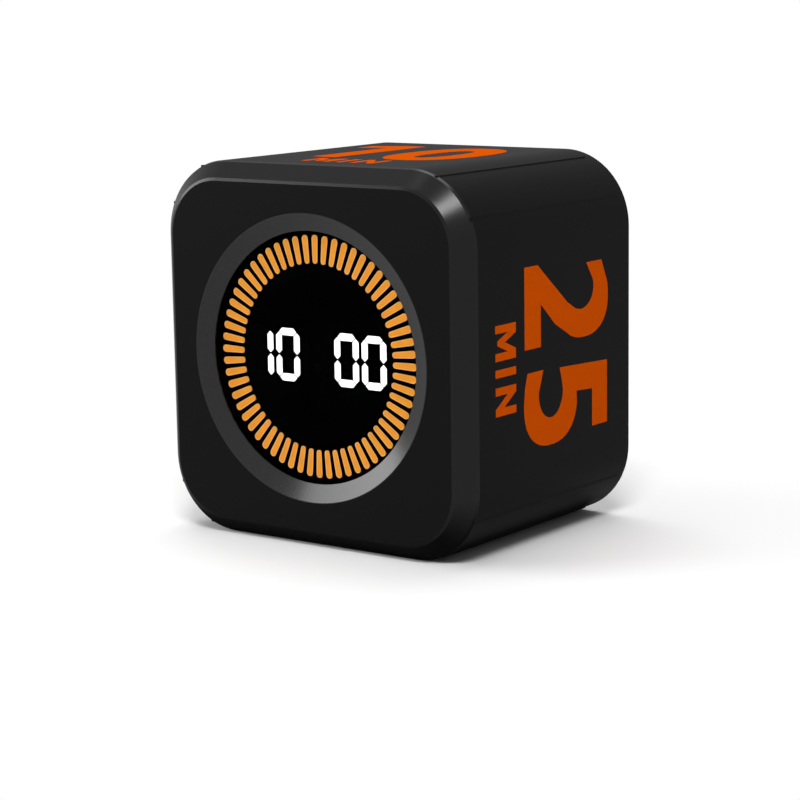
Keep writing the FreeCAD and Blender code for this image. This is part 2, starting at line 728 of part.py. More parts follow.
# Frame that carries the battery, on four posts of the housing
def make_battery():
    body = new_body("battery_frame", FRAME_FRONT)
    plate = new_sketch(body, "frame_plate")
    wide, tall = "frame_half_width", "frame_half_height"
    rectangle(plate, "-" + wide, wide, "-" + tall, tall)
    pad(body, plate, "frame_thickness")
    inner_x = "(cell_width / 2 + protection_thickness / 2 + cell_gap)"
    inner_z = "(cell_height / 2 + cell_gap)"
    tray = new_sketch(body, "tray_walls", "frame_thickness")
    outer_x = "(%s + tray_wall)" % inner_x
    outer_z = "(%s + tray_wall)" % inner_z
    rectangle(tray, "-" + outer_x, outer_x, "-" + outer_z, outer_z)
    pad(body, tray, "tray_height")
    room = new_sketch(body, "tray_room", "frame_thickness")
    rectangle(room, "-" + inner_x, inner_x, "-" + inner_z, inner_z)
    cut(body, room, "tray_height + 1")
    places = four("frame_hole_x", "frame_hole_z")
    through = "(frame_thickness + 2)"
    prisms(body, "Subtractive", "frame_hole", "clearance_hole", places, "-1", through)
    lighten = new_sketch(body, "frame_windows", "-1")
    rectangle(lighten, "-16", "-3", "-9", "9")
    rectangle(lighten, "3", "16", "-9", "9")
    cut(body, lighten, through)
    screws("frame_screws", places, FRAME_BACK, "screw_head_radius",
           "screw_head_height", "(frame_thickness + screw_bite - 0.4)", "front")

    shift = "(-protection_thickness / 2)"
    left = "%s - cell_width / 2" % shift
    right = "%s + cell_width / 2" % shift
    block("battery_pad", left + " + 2", right + " - 2", "-cell_height / 2 + 2", "cell_height / 2 - 2",
          FRAME_BACK, "pad_thickness")
    cell = new_body("battery_cell", FRAME_BACK + " + pad_thickness")
    outline = new_sketch(cell, "cell_outline")
    rectangle(outline, left, right, "-cell_height / 2", "cell_height / 2")
    form = pad(cell, outline, "cell_thickness")

    def side_edges(edge):
        box = edge.BoundBox
        return box.XLength > 1 and box.YLength < 1e-6 and box.ZLength < 1e-6

    dress(cell, form, "Fillet", "cell_rounding", side_edges, "cell_round")
    low = FRAME_BACK + " + pad_thickness + 2.5"
    block("protection_board", right, right + " + protection_thickness", "-protection_height / 2",
          "protection_height / 2", low, "protection_depth")

    board_front = SIZES["depth"] / 2 - SIZES["cover_recess"] - SIZES["cover_thickness"]
    board_front -= SIZES["board_standoff"] + SIZES["board_thickness"]
    half_x, half_z = "header_width / 2", "header_height / 2"
    left = "header_x - " + half_x
    right = "header_x + " + half_x
    low = "header_z - lead_spacing - " + half_z
    high = "header_z - lead_spacing + " + half_z
    block("battery_header", left, right, low, high, BOARD_FRONT + " - header_depth", "header_depth")
    block("battery_plug", left + " + 0.4", right + " - 0.4", low + " + 0.4", high + " - 0.4",
          BOARD_FRONT + " - header_depth - plug_depth", "plug_depth")
    frame_back = -SIZES["depth"] / 2 + SIZES["frame_seat"] + SIZES["frame_thickness"]
    begin = frame_back + SIZES["pad_thickness"] + 2.5 + SIZES["protection_depth"]
    plug_front = board_front - SIZES["header_depth"] - SIZES["plug_depth"]
    middle = SIZES["side"] / 2
    leads = []
    for side in (1, -1):
        spread = side * SIZES["lead_spacing"] / 2
        first_x = SIZES["cell_width"] / 2 + SIZES["fit_gap"] * 3
        first_z = middle + SIZES["lead_z"] + spread
        last_z = middle + SIZES["header_z"] - SIZES["lead_spacing"] + spread
        rise = (plug_front - begin) / 3
        leads.append(tube([
            Vector(first_x, begin, first_z),
            Vector(first_x, begin + rise, first_z),
            Vector(SIZES["header_x"], plug_front - rise, last_z),
            Vector(SIZES["header_x"], plug_front, last_z),
        ], SIZES["lead_radius"], 1.8))
    add_shape("battery_leads", Part.makeCompound(leads))


# Main board on the rear cover's bosses, with its chips
BOARD_HOLES = [
    ("board_hole_upper_x", "board_hole_upper_z"),
    ("-board_hole_upper_x", "board_hole_upper_z"),
    ("board_hole_lower_x", "-board_hole_lower_z"),
    ("-board_hole_lower_x", "-board_hole_lower_z"),
]


def make_main_board():
    body = new_body("main_board", BOARD_FRONT)
    outline = new_sketch(body, "main_board_outline")
    rectangle(outline, "-board_half_width", "board_half_width", "-board_bottom", "board_top")
    pad(body, outline, "board_thickness")
    through = "(board_thickness + 2)"
    prisms(body, "Subtractive", "main_board_hole", "clearance_hole", BOARD_HOLES, "-1", through)
    screws("board_screws", BOARD_HOLES, BOARD_FRONT, "screw_head_radius", "screw_head_height",
           "(board_thickness + board_pilot_depth - 0.4)", "rear")

    chip = new_body("microcontroller", BOARD_FRONT + " - 1.6")
    case = new_sketch(chip, "chip_case")
    rectangle(case, "-14", "-4", "-14", "-6.5")
    pad(chip, case, "1.5")
    pins = new_sketch(chip, "chip_pins", "0.7")
    for number in range(8):
        left = "%.2f" % (-13.45 + 1.27 * number - 0.2)
        right = "%.2f" % (-13.45 + 1.27 * number + 0.2)
        rectangle(pins, left, right, "-15.4", "-5.1")
    pad(chip, pins, "0.9")
    block("tilt_sensor", "3.5", "6.5", "-13", "-10", BOARD_FRONT + " - 1", "1")
    block("charge_controller", "9.5", "14.5", "-16", "-12", BOARD_FRONT + " - 1.4", "1.4")
    half = "connector_width / 2"
    low = "-(main_connector_z + connector_height / 2)"
    high = "-(main_connector_z - connector_height / 2)"
    start = BOARD_FRONT + " - connector_depth"
    block("main_connector", "-" + half, half, low, high, start, "connector_depth")


# Charging inlet: an oval metal shell round a flat tongue
def make_inlet():
    height = "(%s - inlet_recess - (%s))" % (COVER_BACK, BOARD_BACK)
    body = new_body("usb_shell", BOARD_BACK, "inlet_x", "-lower_row_z")
    outline = new_sketch(body, "shell_outline")
    soft_rectangle(outline, "(inlet_width / 2)", "(inlet_height / 2)", "(inlet_height / 2 - 0.1)", 5)
    pad(body, outline, height)
    room = new_sketch(body, "shell_room", "-1")
    wide = "(inlet_width / 2 - inlet_wall)"
    tall = "(inlet_height / 2 - inlet_wall)"
    soft_rectangle(room, wide, tall, "(inlet_height / 2 - inlet_wall - 0.1)", 5)
    cut(body, room, height + " + 2")
    body = new_body("usb_insert", BOARD_BACK, "inlet_x", "-lower_row_z")
    base = new_sketch(body, "insert_base")
    wide = "(inlet_width / 2 - inlet_wall - fit_gap / 2)"
    tall = "(inlet_height / 2 - inlet_wall - fit_gap / 2)"
    soft_rectangle(base, wide, tall, "(inlet_height / 2 - inlet_wall - 0.15)", 5)
    pad(body, base, "insert_depth")
    tongue = new_sketch(body, "tongue", "insert_depth")
    wide, tall = "tongue_width / 2", "tongue_height / 2"
    rectangle(tongue, "-" + wide, wide, "-" + tall, tall)
    pad(body, tongue, height + " - insert_depth - tongue_recess")


# Slide switch and its knob
def make_switch():
    x, z = "-switch_x", "-lower_row_z"
    body = new_body("switch_case", BOARD_BACK, x, z)
    case = new_sketch(body, "switch_case_outline")
    wide, tall = "switch_width / 2", "switch_height / 2"
    rectangle(case, "-" + wide, wide, "-" + tall, tall)
    pad(body, case, "switch_depth")
    slot = new_sketch(body, "lever_slot", "switch_depth / 3")
    reach = "(lever_side / 2 + switch_step + 0.2)"
    side = "(lever_side / 2 + 0.2)"
    rectangle(slot, "-" + reach, reach, "-" + side, side)
    cut(body, slot, "switch_depth")

    plate_front = "(%s - 0.2 - knob_plate_thickness)" % COVER_FRONT
    lever_front = "(%s + switch_depth / 3 + 0.3)" % BOARD_BACK
    lever_length = "(%s - %s - 0.4)" % (plate_front, lever_front)
    body = new_body("switch_lever", lever_front, x, z)
    post = new_sketch(body, "lever_post")
    half = "lever_side / 2"
    rectangle(post, "-" + half, half, "-" + half, half)
    pad(body, post, lever_length)

    body = new_body("switch_knob", plate_front, x, z)
    plate = new_sketch(body, "knob_plate")
    plate_half = "(knob_width / 2 + 2 * switch_step + 0.4)"
    tall = "knob_plate_height / 2"
    rectangle(plate, "-" + plate_half, plate_half, "-" + tall, tall)
    pad(body, plate, "knob_plate_thickness")
    socket_depth = "(%s - (%s) - switch_depth - 0.4)" % (plate_front, BOARD_BACK)
    socket = new_sketch(body, "knob_socket_block", "-" + socket_depth)
    half = "knob_socket / 2"
    rectangle(socket, "-" + half, half, "-" + half, half)
    pad(body, socket, socket_depth)
    room = new_sketch(body, "knob_socket_room", "-%s - 0.5" % socket_depth)
    half = "(lever_side / 2 + 0.05)"
    rectangle(room, "-" + half, half, "-" + half, half)
    cut(body, room, socket_depth + " + 0.1")
    nub = new_sketch(body, "knob_nub", "knob_plate_thickness")
    wide, tall = "knob_width / 2", "knob_height / 2"
    rectangle(nub, "-" + wide, wide, "-" + tall, tall)
    nub_height = "(0.2 + cover_thickness + knob_proud)"
    pad(body, nub, nub_height)
    grooves = new_sketch(body, "knob_grooves", "knob_plate_thickness + %s - knob_groove" % nub_height)
    for number in (-1, 0, 1):
        left = "%d * knob_width / 4 - knob_groove / 2" % number
        right = "%d * knob_width / 4 + knob_groove / 2" % number
        rectangle(grooves, left, right, "-knob_height / 2 - 1", "knob_height / 2 + 1")
    cut(body, grooves, "knob_groove + 1")


# Push buttons, their switches on the board and the parts that travel
BUTTONS = {"minutes": "button_spacing", "seconds": "0", "start": "-button_spacing"}


def make_buttons():
    body = new_body("tact_switches", BOARD_BACK, "0", "-button_z")
    cases = new_sketch(body, "tact_cases")
    for x in BUTTONS.values():
        rectangle(cases, x + " - tact_side / 2", x + " + tact_side / 2", "-tact_side / 2", "tact_side / 2")
    pad(body, cases, "tact_height")
    places = [(x, "0") for x in BUTTONS.values()]
    start = "(tact_height - plunger_depth - button_travel - 0.2)"
    prisms(body, "Subtractive", "plunger_room", "plunger_radius + fit_gap", places, start, "tact_height")
    top = "(%s + tact_height + plunger_height)" % BOARD_BACK
    for name, x in BUTTONS.items():
        body = new_body(name + "_plunger", "%s - plunger_height - plunger_depth" % top, x, "-button_z")
        length = "(plunger_height + plunger_depth)"
        prisms(body, "Additive", name + "_post", "plunger_radius", [("0", "0")], "0", length)
        body = new_body(name + "_button", top, x, "-button_z")
        flange_front = "(%s - %s - button_gap - button_flange_thickness)" % (COVER_FRONT, top)
        flange_back = "(%s - %s - button_gap)" % (COVER_FRONT, top)
        face = "(%s - %s + button_proud)" % (COVER_BACK, top)
        prisms(body, "Additive", name + "_stem", "stem_radius", [("0", "0")], "0", flange_front)
        flange = new_sketch(body, name + "_flange", flange_front)
        half = "(button_radius + button_flange)"
        rectangle(flange, "-" + half, half, "-" + half, half)
        pad(body, flange, "button_flange_thickness")
        cap = new_sketch(body, name + "_cap", flange_back)
        circles(cap, "button_radius", [("0", "0")])
        form = pad(body, cap, "%s - %s" % (face, flange_back))
        dress(body, form, "Chamfer", name + "_edge", rearmost_edges(form), "button_bevel")


# Speaker behind the grille
def make_speaker():
    z = "speaker_z"
    inner = "(speaker_radius - gasket_width)"
    body = new_body("speaker_cloth", COVER_FRONT + " - cloth_thickness", "0", z)
    prisms(body, "Additive", "cloth_disc", "cloth_radius", CENTRE, "0", "cloth_thickness", 24)
    body = new_body("speaker_gasket", COVER_FRONT + " - gasket_thickness", "0", z)
    prisms(body, "Additive", "gasket_disc", "speaker_radius", CENTRE, "0", "gasket_thickness", 24)
    prisms(body, "Subtractive", "gasket_hole", inner, CENTRE, "-1", "gasket_thickness + 2", 24)
    back = "(%s - gasket_thickness - basket_depth)" % COVER_FRONT
    body = new_body("speaker_basket", back, "0", z)
    prisms(body, "Additive", "basket_disc", "speaker_radius", CENTRE, "0", "basket_depth", 24)
    inner = "(speaker_radius - basket_wall)"
    prisms(body, "Subtractive", "basket_room", inner, CENTRE, "basket_wall", "basket_depth", 24)
    body = new_body("speaker_diaphragm", back, "0", z)
    edge = "(speaker_radius - basket_wall - fit_gap)"
    start = "(basket_depth - 0.4)"
    prisms(body, "Additive", "diaphragm_disc", edge, CENTRE, start, "0.3", 24)
    start = "(basket_depth - 0.1)"
    prisms(body, "Additive", "dust_cap", "(magnet_radius / 2)", CENTRE, start, "0.25", 12)
    body = new_body("speaker_magnet", back + " - magnet_thickness", "0", z)
    prisms(body, "Additive", "magnet_disc", "magnet_radius", CENTRE, "0", "magnet_thickness", 20)

    cover_front = SIZES["depth"] / 2 - SIZES["cover_recess"] - SIZES["cover_thickness"]
    board_back = cover_front - SIZES["board_standoff"]
    start_y = cover_front - SIZES["gasket_thickness"] - SIZES["basket_depth"]
    middle = SIZES["side"] / 2
    start_z = middle + SIZES["speaker_z"] - SIZES["magnet_radius"] - 2.2
    end_z = middle + SIZES["board_top"] - 1.4
    turn_y = (start_y + board_back) / 2
    leads = []
    for side in (1, -1):
        x = side * SIZES["speaker_wire_x"]
        leads.append(tube([
            Vector(x, start_y, start_z),
            Vector(x, turn_y, start_z),
            Vector(x, turn_y, end_z),
            Vector(x, board_back, end_z),
        ], SIZES["speaker_wire"], 1.2))
    add_shape("speaker_leads", Part.makeCompound(leads))


# Rear cover with the speaker's grille
def make_rear_cover():
    body = new_body("rear_cover", COVER_FRONT)
    outline = new_sketch(body, "cover_outline")
    half = "(side / 2 - wall - fit_gap)"
    soft_rectangle(outline, half, half, "(corner_radius - wall - fit_gap)")
    pad(body, outline, "cover_thickness")
    centre = [("0", "speaker_z")]
    outer = "(speaker_radius + fit_gap + speaker_wall)"
    inner = "(speaker_radius + fit_gap)"
    start = "(-speaker_wall_height)"
    prisms(body, "Additive", "speaker_wall_outside", outer, centre, start, "speaker_wall_height", 24)
    prisms(body, "Subtractive", "speaker_wall_room", inner, centre, start, "speaker_wall_height", 24)
    start = "(-board_standoff)"
    prisms(body, "Additive", "board_boss", "board_boss_radius", BOARD_HOLES, start, "board_standoff")
    start = "(-board_standoff - 1)"
    pilot = "(screw_radius + pilot_gap)"
    prisms(body, "Subtractive", "board_pilot", pilot, BOARD_HOLES, start, "board_pilot_depth + 1")
    places = four("column_offset", "column_offset")
    through = "(cover_thickness + 2)"
    prisms(body, "Subtractive", "cover_hole", "clearance_hole", places, "-1", through)
    start = "(cover_thickness - cover_screw_sink)"
    sink = "(cover_screw_head + fit_gap)"
    prisms(body, "Subtractive", "cover_sink", sink, places, start, "cover_screw_sink + 1", 20)
    bores = new_sketch(body, "button_bores", "-1")
    circles(bores, "button_radius + button_gap", [(x, "-button_z") for x in BUTTONS.values()])
    cut(body, bores, "cover_thickness + 2")
    slot = new_sketch(body, "knob_slot", "-1")
    reach = "(knob_width / 2 + switch_step + 0.2)"
    tall = "(knob_height / 2 + 0.15)"
    rectangle(slot, "-switch_x - " + reach, "-switch_x + " + reach,
              "-lower_row_z - " + tall, "-lower_row_z + " + tall)
    cut(body, slot, "cover_thickness + 2")
    opening = new_sketch(body, "inlet_opening", "-1")
    wide = "(inlet_width / 2 + inlet_gap)"
    tall = "(inlet_height / 2 + inlet_gap)"
    soft_rectangle(opening, wide, tall, "(inlet_height / 2 + inlet_gap - 0.1)", 5, "inlet_x", "-lower_row_z")
    cut(body, opening, through)
    centres = [("0", "speaker_z")]
    for ring_number in (1, 2):
        for number in range(6 * ring_number):
            corner, step = divmod(number, ring_number)
            x, z = hexagon_point(ring_number, corner, step)
            centres.append(("%.6f * grille_pitch" % x, "speaker_z + %.6f * grille_pitch" % z))
    prisms(body, "Subtractive", "grille", "grille_hole", centres, "-1", through, 10)
    screws("rear_cover_screws", places, COVER_BACK + " - cover_screw_sink", "cover_screw_head",
           "(cover_screw_sink - 0.1)", "(cover_thickness - cover_screw_sink + cover_screw_bite)", "front")


def hexagon_point(size, corner, step):
    """A point on a hexagon of unit-spaced holes, counted round from its right-hand corner."""
    right, high = [(1.0, 0.0), (0.5, 0.866025), (-0.5, 0.866025)], 0.866025
    corners = right + [(-1.0, 0.0), (-0.5, -high), (0.5, -high)]
    begin = corners[corner]
    finish = corners[(corner + 1) % 6]
    share = step / size
    x = size * (begin[0] * (1 - share) + finish[0] * share)
    z = size * (begin[1] * (1 - share) + finish[1] * share)
    return x, z


for make in (make_housing, make_ring_and_window, make_reflector, make_fillings, make_led_board, make_ribbon,
             make_battery, make_main_board, make_inlet, make_switch, make_buttons, make_speaker,
             make_rear_cover):
    make()
doc.recompute()

for item in doc.Objects:
    if "Invalid" in item.State or "Error" in item.State:
        raise RuntimeError("%s: %s" % (item.Label, item.getStatusString()))
for item in subparts:
    if item.Shape.isNull() or not item.Shape.isValid() or item.Shape.Volume <= 0:
        raise RuntimeError(item.Label + " has no valid shape")

os.makedirs("parts", exist_ok=True)
for item in subparts:
    item.Shape.exportStep("parts/%s.step" % item.Label)
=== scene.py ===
import json
import math

import bmesh
import bpy
from mathutils import Matrix, Vector


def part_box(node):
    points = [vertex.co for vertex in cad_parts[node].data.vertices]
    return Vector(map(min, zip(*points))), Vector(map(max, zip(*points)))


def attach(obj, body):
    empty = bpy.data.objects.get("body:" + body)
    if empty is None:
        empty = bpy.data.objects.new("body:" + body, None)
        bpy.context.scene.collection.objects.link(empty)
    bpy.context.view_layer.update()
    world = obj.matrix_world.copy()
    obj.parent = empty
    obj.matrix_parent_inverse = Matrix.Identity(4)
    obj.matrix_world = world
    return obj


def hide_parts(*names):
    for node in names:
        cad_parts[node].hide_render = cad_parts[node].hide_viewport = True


# Visual countdown timer in a plain pale studio. Metres; sizes written in millimetres use MM.
MM = 0.001
SIDE = 64.0
FRONT = -25.0
CHAMFER = 3.0
COVER_BACK = 24.0
SCREW_BACK = 23.9

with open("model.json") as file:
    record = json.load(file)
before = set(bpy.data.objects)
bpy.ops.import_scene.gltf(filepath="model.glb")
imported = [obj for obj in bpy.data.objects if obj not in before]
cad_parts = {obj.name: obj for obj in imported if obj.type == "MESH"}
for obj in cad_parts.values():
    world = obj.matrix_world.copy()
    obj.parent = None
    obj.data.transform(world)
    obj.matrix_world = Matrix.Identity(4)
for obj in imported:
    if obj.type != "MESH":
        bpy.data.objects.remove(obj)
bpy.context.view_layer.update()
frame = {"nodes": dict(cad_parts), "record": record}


# Materials
def shades(color, share):
    """A darker and a lighter tone of one colour."""
    dark = [channel * (1 - share) for channel in color[:3]] + [1]
    light = [min(1, channel * (1 + share)) for channel in color[:3]] + [1]
    return dark, light


def surface(name, color, rough, grain=900.0, share=0.06, rough_share=0.05, bump=0.0, **values):
    """A principled surface whose colour, roughness and relief follow a fine noise."""
    material = bpy.data.materials.new(name)
    material.use_nodes = True
    nodes, links = material.node_tree.nodes, material.node_tree.links
    shader = nodes["Principled BSDF"]
    place = nodes.new("ShaderNodeTexCoord")
    noise = nodes.new("ShaderNodeTexNoise")
    noise.inputs["Scale"].default_value = grain
    noise.inputs["Detail"].default_value = 4
    links.new(place.outputs["Object"], noise.inputs["Vector"])
    ramp = nodes.new("ShaderNodeValToRGB")
    dark, light = shades(color, share)
    ramp.color_ramp.elements[0].position = 0.3
    ramp.color_ramp.elements[0].color = dark
    ramp.color_ramp.elements[1].position = 0.7
    ramp.color_ramp.elements[1].color = light
    links.new(noise.outputs["Fac"], ramp.inputs["Fac"])
    links.new(ramp.outputs["Color"], shader.inputs["Base Color"])
    spread = nodes.new("ShaderNodeMapRange")
    spread.inputs["To Min"].default_value = max(0.02, rough - rough_share)
    spread.inputs["To Max"].default_value = min(1, rough + rough_share)
    links.new(noise.outputs["Fac"], spread.inputs["Value"])
    links.new(spread.outputs["Result"], shader.inputs["Roughness"])
    if bump:
        relief = nodes.new("ShaderNodeBump")
        relief.inputs["Strength"].default_value = bump
        relief.inputs["Distance"].default_value = 0.02 * MM
        links.new(noise.outputs["Fac"], relief.inputs["Height"])
        links.new(relief.outputs["Normal"], shader.inputs["Normal"])
    for socket, value in values.items():
        shader.inputs[socket.replace("_", " ")].default_value = value
    return material


def lit(name, color, strength, grain=700.0, share=0.03):
    """A lit translucent filling: its light follows the same fine noise as its colour."""
    material = surface(name, color, 0.4, grain, share)
    nodes, links = material.node_tree.nodes, material.node_tree.links
    shader = nodes["Principled BSDF"]
    ramp = [node for node in nodes if node.type == "VALTORGB"][0]
    links.new(ramp.outputs["Color"], shader.inputs["Emission Color"])
    shader.inputs["Emission Strength"].default_value = strength
    shader.inputs["Specular IOR Level"].default_value = 0.1
    return material


SHELL = dict(Specular_IOR_Level=0.0, Coat_Weight=0.18, Coat_Roughness=0.33, Coat_IOR=1.33)
black_shell = surface("black_shell", (0.0034, 0.0034, 0.0036), 0.6, 2600.0, 0.12, 0.06, 0.12, **SHELL)
RING = dict(Specular_IOR_Level=0.0, Coat_Weight=0.55, Coat_Roughness=0.2, Coat_IOR=1.5)
black_ring = surface("black_ring", (0.008, 0.008, 0.0085), 0.45, 1800.0, 0.1, 0.04, 0.05, **RING)
BEVEL = dict(Specular_IOR_Level=0.0, Coat_Weight=0.38, Coat_Roughness=0.24, Coat_IOR=1.5)
black_bevel = surface("black_bevel", (0.0022, 0.0022, 0.0023), 0.5, 2600.0, 0.12, 0.04, 0.05, **BEVEL)
KEY = dict(Specular_IOR_Level=0.0, Coat_Weight=0.4, Coat_Roughness=0.28, Coat_IOR=1.5)
black_key = surface("black_key", (0.009, 0.009, 0.0095), 0.5, 2200.0, 0.12, 0.05, 0.08, **KEY)
smoked = surface("smoked_window", (0.5, 0.5, 0.51), 0.03, 300.0, 0.02, 0.01, 0.0,
                 Transmission_Weight=1.0, IOR=1.04)
black_inner = surface("black_inner", (0.0015, 0.0015, 0.0016), 0.8, 1500.0, 0.1, 0.05, 0.0,
                      Specular_IOR_Level=0.05)
orange_core = lit("orange_core", (0.806, 0.305, 0.027), 1.29)
orange_edge = lit("orange_edge", (0.9, 0.46, 0.14), 1.22)
orange_wall = surface("orange_wall", (0.6, 0.2, 0.02), 0.5, 900.0, 0.05)
white_lit = lit("white_lit", (0.93, 0.93, 0.93), 1.42)
unlit = surface("unlit_segment", (0.003, 0.003, 0.003), 0.6, 900.0, 0.1, Specular_IOR_Level=0.1)
print_orange = surface("print_orange", (0.5, 0.066, 0.001), 0.6, 3200.0, 0.04, 0.06, 0.05,
                       Specular_IOR_Level=0.0)
print_grey = surface("print_grey", (0.42, 0.42, 0.43), 0.5, 3200.0, 0.05, 0.05, 0.03,
                     Specular_IOR_Level=0.2)
board_green = surface("board_green", (0.02, 0.16, 0.07), 0.35, 500.0, 0.14, 0.06, 0.05)
chip_black = surface("chip_black", (0.03, 0.03, 0.032), 0.55, 1800.0, 0.12, 0.06, 0.05)
led_white = surface("led_white", (0.85, 0.8, 0.5), 0.35, 1200.0, 0.06)
cream = surface("connector_cream", (0.78, 0.74, 0.63), 0.45, 1200.0, 0.05, 0.05, 0.02)
ribbon_grey = surface("ribbon_grey", (0.66, 0.66, 0.68), 0.4, 900.0, 0.05)
screw_steel = surface("screw_steel", (0.42, 0.42, 0.43), 0.32, 2600.0, 0.08, 0.08, 0.05, Metallic=1.0)
cell_foil = surface("cell_foil", (0.62, 0.63, 0.66), 0.3, 260.0, 0.05, 0.08, 0.15, Metallic=1.0)
foam = surface("pad_foam", (0.35, 0.35, 0.35), 0.9, 3500.0, 0.16, 0.05, 0.3)
wire_red = surface("lead_wire", (0.5, 0.03, 0.02), 0.45, 1500.0, 0.08, 0.05, 0.02)
inlet_steel = surface("inlet_steel", (0.62, 0.62, 0.63), 0.28, 1700.0, 0.06, 0.07, 0.04, Metallic=1.0)
coated_steel = surface("coated_steel", (0.09, 0.09, 0.09), 0.5, 1300.0, 0.1, 0.06, 0.05)
paper = surface("speaker_paper", (0.05, 0.05, 0.05), 0.9, 2600.0, 0.2, 0.05, 0.3)
cloth = surface("grille_cloth", (0.02, 0.02, 0.02), 0.95, 5200.0, 0.3, 0.04, 0.5, Sheen_Weight=0.1)
magnet = surface("magnet_metal", (0.2, 0.2, 0.21), 0.45, 900.0, 0.1, 0.06, 0.06)
tinned = surface("switch_metal", (0.55, 0.55, 0.56), 0.3, 1700.0, 0.06, 0.07, 0.04, Metallic=1.0)

BY_SLOT = {
    "black_shell": black_shell, "black_trim": black_key, "smoked_window": smoked,
    "black_inner": black_inner, "orange_light": orange_core, "white_light": white_lit,
    "board_green": board_green, "chip_black": chip_black, "led_white": led_white,
    "connector_cream": cream, "ribbon_grey": ribbon_grey, "screw_steel": screw_steel,
    "cell_foil": cell_foil, "pad_foam": foam, "lead_wire": wire_red, "inlet_steel": inlet_steel,
    "speaker_steel": coated_steel, "speaker_paper": paper, "grille_cloth": cloth,
    "magnet_metal": magnet, "switch_metal": tinned,
}


def paint_shade_below(material, low, high):
    """Painted shade: the coat fades from high to low as the surface turns to look down, so faces that look
    down stay dark as if in shade.
    """
    nodes, links = material.node_tree.nodes, material.node_tree.links
    place_at = [node for node in nodes if node.type == "TEX_COORD"][0]
    split = nodes.new("ShaderNodeSeparateXYZ")
    links.new(place_at.outputs["Normal"], split.inputs["Vector"])
    fade = nodes.new("ShaderNodeMapRange")
    fade.interpolation_type = "SMOOTHSTEP"
    fade.inputs["From Min"].default_value = -0.6
    fade.inputs["From Max"].default_value = 0.0
    fade.inputs["To Min"].default_value = low
    fade.inputs["To Max"].default_value = high
    links.new(split.outputs["Z"], fade.inputs["Value"])
    links.new(fade.outputs["Result"], nodes["Principled BSDF"].inputs["Coat Weight"])


def dress_nodes():
    # Painted shade: the chamfer's coat is weakened where it looks down.
    paint_shade_below(black_bevel, 0.04, 0.4)
    for part in frame["record"]["subparts"]:
        node = frame["nodes"][part["node"]]
        node.data.materials.clear()
        node.data.materials.append(BY_SLOT[part["material_slot"]])
    shell = frame["nodes"]["housing"].data
    shell.materials.append(black_bevel)
    for face in shell.polygons:
        tilted = -0.985 < face.normal.y < -0.05
        if tilted and face.center.y < (FRONT + CHAMFER + 1) * MM:
            face.material_index = 1
    ring = frame["nodes"]["trim_ring"]
    ring.data.materials.clear()
    ring.data.materials.append(black_ring)


# Pieces built here
def place(name, mesh, body, slot, materials):
    item = bpy.data.objects.new(name, mesh)
    bpy.context.scene.collection.objects.link(item)
    for material in materials:
        item.data.materials.append(material)
    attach(item, body)
    return item


def prism(bm, outline, to_world, low, high):
    """A flat-sided solid on an outline of (u, v) points, between two heights of its own frame."""
    bottom = [bm.verts.new(to_world(u, v, low)) for u, v in outline]
    top = [bm.verts.new(to_world(u, v, high)) for u, v in outline]
    bm.faces.new(top)
    bm.faces.new(list(reversed(bottom)))
    for number in range(len(outline)):
        following = (number + 1) % len(outline)
        bm.faces.new([bottom[number], bottom[following], top[following], top[number]])


def finished(bm, name):
    bmesh.ops.recalc_face_normals(bm, faces=bm.faces)
    mesh = bpy.data.meshes.new(name)
    bm.to_mesh(mesh)
    bm.free()
    return mesh


# Light bars and digits
BARS = 60
BAR_INNER, BAR_OUTER = 15.65, 20.4
BAR_NARROW, BAR_BROAD = 0.5, 0.62
BAR_DEPTH, BAR_RIM, BAR_SINK = 2.0, 0.11, 0.015
LENS_BACK = FRONT + 2.6


def bar_outline(shrink):
    """A tapered bar along +v with round ends."""
    points = []
    low, high = BAR_INNER + BAR_NARROW, BAR_OUTER - BAR_BROAD
    for step in range(13):
        turn = math.pi * step / 12
        radius = BAR_BROAD - shrink
        points.append((radius * math.cos(turn), high + radius * math.sin(turn)))
    for step in range(13):
        turn = math.pi + math.pi * step / 12
        radius = BAR_NARROW - shrink
        points.append((radius * math.cos(turn), low + radius * math.sin(turn)))
    return points


def make_bars():
    bm = bmesh.new()
    for number in range(BARS):
        turn = 2 * math.pi * number / BARS
        across = Vector((math.cos(turn), 0, -math.sin(turn)))
        out = Vector((math.sin(turn), 0, math.cos(turn)))

        def to_world(u, v, height):
            point = across * u + out * v
            return Vector((point.x, LENS_BACK - height, point.z + SIDE / 2)) * MM

        rim, core = bar_outline(0.0), bar_outline(BAR_RIM)
        back = [bm.verts.new(to_world(u, v, -BAR_DEPTH)) for u, v in rim]
        front = [bm.verts.new(to_world(u, v, 0.0)) for u, v in rim]
        inner = [bm.verts.new(to_world(u, v, -BAR_SINK)) for u, v in core]
        bm.faces.new(inner).material_index = 0
        bm.faces.new(list(reversed(back))).material_index = 2
        for step in range(len(rim)):
            after = (step + 1) % len(rim)
            bm.faces.new([front[step], front[after], inner[after], inner[step]]).material_index = 1
            bm.faces.new([back[step], back[after], front[after], front[step]]).material_index = 2
    bars = place("lit_bars", finished(bm, "lit_bars"), "body", "orange_light",
                 [orange_core, orange_edge, orange_wall])
    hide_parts("ring_bars")


SHOWN = {
    "minutes_tens_digit": "bc", "minutes_ones_digit": "abcdef",
    "seconds_tens_digit": "abcdef", "seconds_ones_digit": "abcdef",
}


def segment_at(x, z):
    """The letter of the segment whose middle is nearest to a point about the digit's middle."""
    middles = {"a": (0, 3.85), "b": (1.9, 1.9), "c": (1.9, -1.9), "d": (0, -3.85),
               "e": (-1.9, -1.9), "f": (-1.9, 1.9), "g": (0, 0)}
    return min(middles, key=lambda name: math.hypot(x - middles[name][0], z - middles[name][1]))


